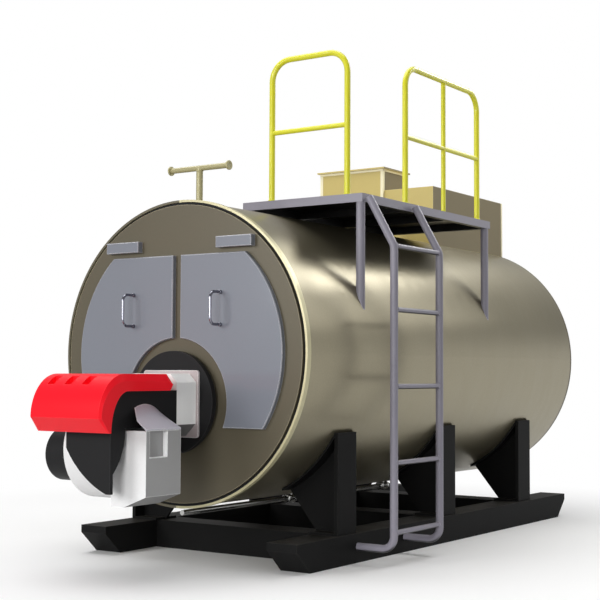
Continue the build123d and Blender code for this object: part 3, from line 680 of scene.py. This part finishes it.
post_welds = bmesh.new()
low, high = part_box("guard_rail_front")
post_r = (high.y - low.y) / 2
for x in (low.x + post_r, high.x - post_r):
    add_bead(post_welds, (x, (low.y + high.y) / 2, low.z + POST_WELD_UP), (0, 0, 1), post_r)
low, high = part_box("guard_rail_side")
for y in (low.y + post_r, high.y - post_r):
    add_bead(post_welds, ((low.x + high.x) / 2, y, low.z + POST_WELD_UP), (0, 0, 1), post_r)
keep("post_welds", post_welds, "rail_paint")

# %% [markdown]
# The vent pipe on the drum's top ends in a tee. Its two ends are closed by screwed caps: a rim stands
# a little proud round a sunk middle. An inset and an extrusion could make that from the pipe's end,
# but the pipe is the CAD's. So each cap is one outline, turned round the bar's axis.

# %% Caps of the vent tee
CAP_SUNK, CAP_PROUD, CAP_DEPTH = 0.004, 0.003, 0.010
low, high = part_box("vent_tee")
cap_r = (high.y - low.y) / 2
sunk_r, rim_in_r, rim_out_r, skirt_r = cap_r * 0.55, cap_r * 0.62, cap_r * 0.94, cap_r * 1.03
bar_z, tee_y = high.z - cap_r, (low.y + high.y) / 2
caps = bmesh.new()
for side, x in ((-1, low.x), (1, high.x)):
    add_part(caps, turned([(0.0, -CAP_SUNK), (sunk_r, -CAP_SUNK), (rim_in_r, CAP_PROUD),
                           (rim_out_r, CAP_PROUD), (skirt_r, 0.0), (skirt_r, -CAP_DEPTH),
                           (0.0, -CAP_DEPTH)], (x, tee_y, bar_z), (side, 0, 0)))
keep("tee_caps", caps, "tee_brass")

# %% [markdown]
# The tee's riser is welded to the drum, and the bar is welded to the riser with a smaller bead. The bead
# function makes both.

# %% Welds of the vent tee
RISER_R, BAR_R, SMALL_BEAD, DRUM_WELD_UP = 0.025, 0.021, 0.004, 0.001
tee_welds = bmesh.new()
add_bead(tee_welds, (0, tee_y, bar_z - BAR_R), (0, 0, 1), RISER_R, bead=SMALL_BEAD)
add_bead(tee_welds, (0, tee_y, AXIS_Z + SHELL_R + DRUM_WELD_UP), (0, 0, 1), RISER_R)
keep("tee_welds", tee_welds, "tee_brass")

# %% [markdown]
# The two boxes behind the platform are folded from sheet, and pale angle strips cover their outer
# corners. A strip could be two thin blocks, but those would overlap in the corner. So it is an L,
# drawn once and extruded, and the edges that stick out are bevelled to catch the light.

# %% Corner strips on the boxes
STRIP_W, STRIP_T, STRIP_BEVEL = 0.026, 0.003, 0.0008
STRIP_OFF_DRUM, STRIP_UNDER_TOP = 0.004, 0.001


def new_points(extrusion):
    """Picks the points out of what an extrusion made."""
    return [item for item in extrusion["geom"] if isinstance(item, bmesh.types.BMVert)]


def add_corner(bm, x, y, low_z, high_z, inward_x, inward_y):
    """Adds an upright angle strip round the corner at x, y."""
    out_x, out_y = x - inward_x * STRIP_T, y - inward_y * STRIP_T
    in_x, in_y = x + inward_x * STRIP_W, y + inward_y * STRIP_W
    outline = [(out_x, out_y), (in_x, out_y), (in_x, y), (x, y), (x, in_y), (out_x, in_y)]
    foot = bm.faces.new([bm.verts.new((px, py, low_z)) for px, py in outline])
    top = new_points(bmesh.ops.extrude_face_region(bm, geom=[foot]))
    bmesh.ops.translate(bm, verts=top, vec=(0, 0, high_z - low_z))


flue_low, flue_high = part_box("flue_box")
smoke_low, smoke_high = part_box("smoke_box")
strips = bmesh.new()
for low, high, y, inward_y in ((flue_low, flue_high, flue_low.y, 1),
                               (smoke_low, smoke_high, smoke_high.y, -1)):
    for x, inward_x in ((low.x, 1), (high.x, -1)):
        foot_z = AXIS_Z + math.sqrt(SHELL_R ** 2 - x ** 2) + STRIP_OFF_DRUM
        add_corner(strips, x, y, foot_z, high.z - STRIP_UNDER_TOP, inward_x, inward_y)
bmesh.ops.bevel(strips, geom=[line for line in strips.edges if line.is_convex], offset=STRIP_BEVEL,
                offset_type="OFFSET", segments=2, profile=0.5, affect="EDGES", material=-1)
keep("box_corner_strips", strips, "box_tan", finish=box_trim)

# %% [markdown]
# A pale band of the same sheet runs round the flue box just under its lid. Four bars could be mitred
# together, but a frame in one piece has no seams. So it is drawn as an outline with a hole, by
# bridging two rings of points, and extruded upwards.

# %% Band under the flue box's lid
BAND_HIGH, BAND_T, BAND_GAP, BAND_UNDER_LID = 0.020, 0.004, 0.0005, 0.001
lid_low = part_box("flue_box_lid")[0]
band = bmesh.new()
rings = []
for grow in (BAND_GAP, BAND_T):
    corners = [(flue_low.x - grow, flue_low.y - grow), (flue_high.x + grow, flue_low.y - grow),
               (flue_high.x + grow, flue_high.y + grow), (flue_low.x - grow, flue_high.y + grow)]
    points = [band.verts.new((x, y, lid_low.z - BAND_HIGH - BAND_UNDER_LID)) for x, y in corners]
    rings.append([band.edges.new((points[i], points[(i + 1) % 4])) for i in range(4)])
flat = bmesh.ops.bridge_loops(band, edges=rings[0] + rings[1])["faces"]
top = new_points(bmesh.ops.extrude_face_region(band, geom=flat))
bmesh.ops.translate(band, verts=top, vec=(0, 0, BAND_HIGH))
keep("lid_band", band, "box_tan", finish=box_trim)

# %% [markdown]
# The drain pipe under the drum has a union at each drop. Its nuts are hexagons with their corners
# turned off, as on every screwed pipe fitting. A cone cut with a Boolean would be true to the lathe.
# At this size a bevel on every edge looks the same, so a circle of six sides is extruded along the
# pipe and bevelled.

# %% Hexagon nuts on the drain line
NUT_R, NUT_LENGTH, NUT_BEVEL = 0.041, 0.026, 0.003
UNION_R, UNION_HALF = 0.033, 0.045
DRAIN_DROPS = (-0.883, 0.580)
drain_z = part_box("drain_line")[0].z + UNION_R
nuts = bmesh.new()
for y in DRAIN_DROPS:
    for side in (-1, 1):
        ring = bmesh.ops.create_circle(nuts, cap_ends=True, cap_tris=False, segments=6, radius=NUT_R)
        face = ring["verts"][0].link_faces[0]
        place = Matrix.Translation((0, y + side * UNION_HALF - NUT_LENGTH / 2, drain_z))
        turn = Matrix.Rotation(-math.pi / 2, 4, "X")
        bmesh.ops.transform(nuts, matrix=place @ turn, verts=ring["verts"])
        far = new_points(bmesh.ops.extrude_face_region(nuts, geom=[face]))
        bmesh.ops.translate(nuts, verts=far, vec=(0, NUT_LENGTH, 0))
bmesh.ops.bevel(nuts, geom=list(nuts.edges), offset=NUT_BEVEL, offset_type="OFFSET", segments=2,
                profile=0.5, affect="EDGES", material=-1)
keep("drain_nuts", nuts, "drain_steel")

# %% [markdown]
# The boiler stands in plain white space, as in a catalogue. A picture of a hall could light it, but
# then the drum would mirror that hall. So the world is white for the camera. In reflections it is white
# at the horizon and darker above, and as a light it is weak, so that colours stay as they were mixed.

# %% World
SKY_LIGHT, SKY_HIGH = 0.24, 0.38
HORIZON, HIGH_UP = 0.02, 0.22
world = bpy.data.worlds.new("sky")
bpy.context.scene.world = world
world.use_nodes = True
sky = world.node_tree
height = add(sky, "ShaderNodeSeparateXYZ", _0=add(sky, "ShaderNodeTexCoord").outputs["Generated"])
veil = smooth_step(sky, height.outputs["Z"], HORIZON, HIGH_UP, first=1.0, last=SKY_HIGH)
seen = add(sky, "ShaderNodeLightPath")
mirrored = math_node(sky, "MAXIMUM", seen.outputs["Is Glossy Ray"], seen.outputs["Is Transmission Ray"])
power = add(sky, "ShaderNodeMix", {"data_type": "FLOAT"}, _0=mirrored, _2=SKY_LIGHT, _3=veil).outputs[0]
power = math_node(sky, "MAXIMUM", power, seen.outputs["Is Camera Ray"])
background = sky.nodes["Background"]
background.inputs["Color"].default_value = WHITE
sky.links.new(power, background.inputs["Strength"])
print("the sky gives", SKY_LIGHT, "as a light")

# %% [markdown]
# One sun could light the boiler, but its shadows would be hard. Six square lamps give soft ones. A key
# lamp on the left and a fill lamp of nearly the same strength stand far in front, so faces that look
# forward are brighter than those that look right. A weak side lamp stands on the right, and a large one
# hangs overhead, a little to the left. Two sheen lamps hang high on the right, one beside the drum's
# rear end and one behind it, where its metal mirrors them back to the camera as pale bands.

# %% Lamps


def area_lamp(name, place, target, size, watts):
    """Adds a square lamp that looks at a target."""
    data = bpy.data.lights.new(name, "AREA")
    data.shape, data.size, data.energy = "SQUARE", size, watts
    lamp = bpy.data.objects.new(name, data)
    aim = (Vector(target) - Vector(place)).to_track_quat("-Z", "Y")
    lamp.matrix_world = Matrix.Translation(place) @ aim.to_matrix().to_4x4()
    bpy.context.scene.collection.objects.link(lamp)


area_lamp("key lamp", (-4.0, -12.5, 4.4), (0, -2.0, 1.4), size=4.0, watts=500)
area_lamp("fill lamp", (2.4, -12.5, 2.6), (0, -2.0, 1.4), size=4.0, watts=480)
area_lamp("side lamp", (6.0, -5.5, 2.2), (0.9, -1.8, 1.5), size=2.5, watts=50)
area_lamp("overhead lamp", (-2.0, -1.0, 9.0), (-1.0, -0.5, 0), size=8.0, watts=680)
area_lamp("sheen lamp", (2.4, 4.5, 6.9), (0.9, -2.0, 2.0), size=2.8, watts=230)
area_lamp("front sheen lamp", (3.2, 2.0, 3.9), (1.0, -2.0, 1.8), size=2.6, watts=32)
print(len(bpy.data.lights), "lamps")

# %% [markdown]
# The floor is pale, and turns to plain white away from the boiler, where it meets the white sky. A
# curved backdrop would hide that line from one side only. A change by distance, read from Object
# coordinates, hides it from every side. Near the boiler the floor is an ordinary surface and takes its
# soft shadow. Further out it shines, fully for the camera and for mirrors and weakly as a light.

# %% Floor
FLOOR_R, FLOOR_DROP = 60.0, 0.0005
NEAR, FAR, FLOOR_LIGHT = 2.3, 5.6, 0.10
bm = bmesh.new()
bmesh.ops.create_circle(bm, cap_ends=True, cap_tris=False, segments=64, radius=FLOOR_R)
bmesh.ops.translate(bm, verts=bm.verts, vec=(0, 0, -FLOOR_DROP))
floor_mesh = bpy.data.meshes.new("floor")
bm.to_mesh(floor_mesh)
bm.free()
floor = bpy.data.objects.new("floor", floor_mesh)
bpy.context.scene.collection.objects.link(floor)
floor_finish = bpy.data.materials.new("pale floor")
floor_finish.use_nodes = True
tree = floor_finish.node_tree
ground = tree.nodes["Principled BSDF"]
ground.inputs["Base Color"].default_value = colour(244, 244, 244)
ground.inputs["Roughness"].default_value = 0.6
away = add(tree, "ShaderNodeVectorMath", {"operation": "LENGTH"}, _0=object_place(tree)).outputs["Value"]
fade = smooth_step(tree, away, NEAR, FAR)
seen = add(tree, "ShaderNodeLightPath")
mirrored = math_node(tree, "MAXIMUM", seen.outputs["Is Glossy Ray"], seen.outputs["Is Transmission Ray"])
shown = math_node(tree, "MAXIMUM", seen.outputs["Is Camera Ray"], mirrored)
shine = math_node(tree, "MULTIPLY_ADD", shown, 1.0 - FLOOR_LIGHT, FLOOR_LIGHT)
glow = add(tree, "ShaderNodeEmission", Strength=shine)
both = add(tree, "ShaderNodeMixShader", _0=fade, _1=ground.outputs["BSDF"], _2=glow.outputs["Emission"])
tree.links.new(both.outputs["Shader"], tree.nodes["Material Output"].inputs["Surface"])
floor_mesh.materials.append(floor_finish)
print("the floor is plain from", FAR, "m outwards")
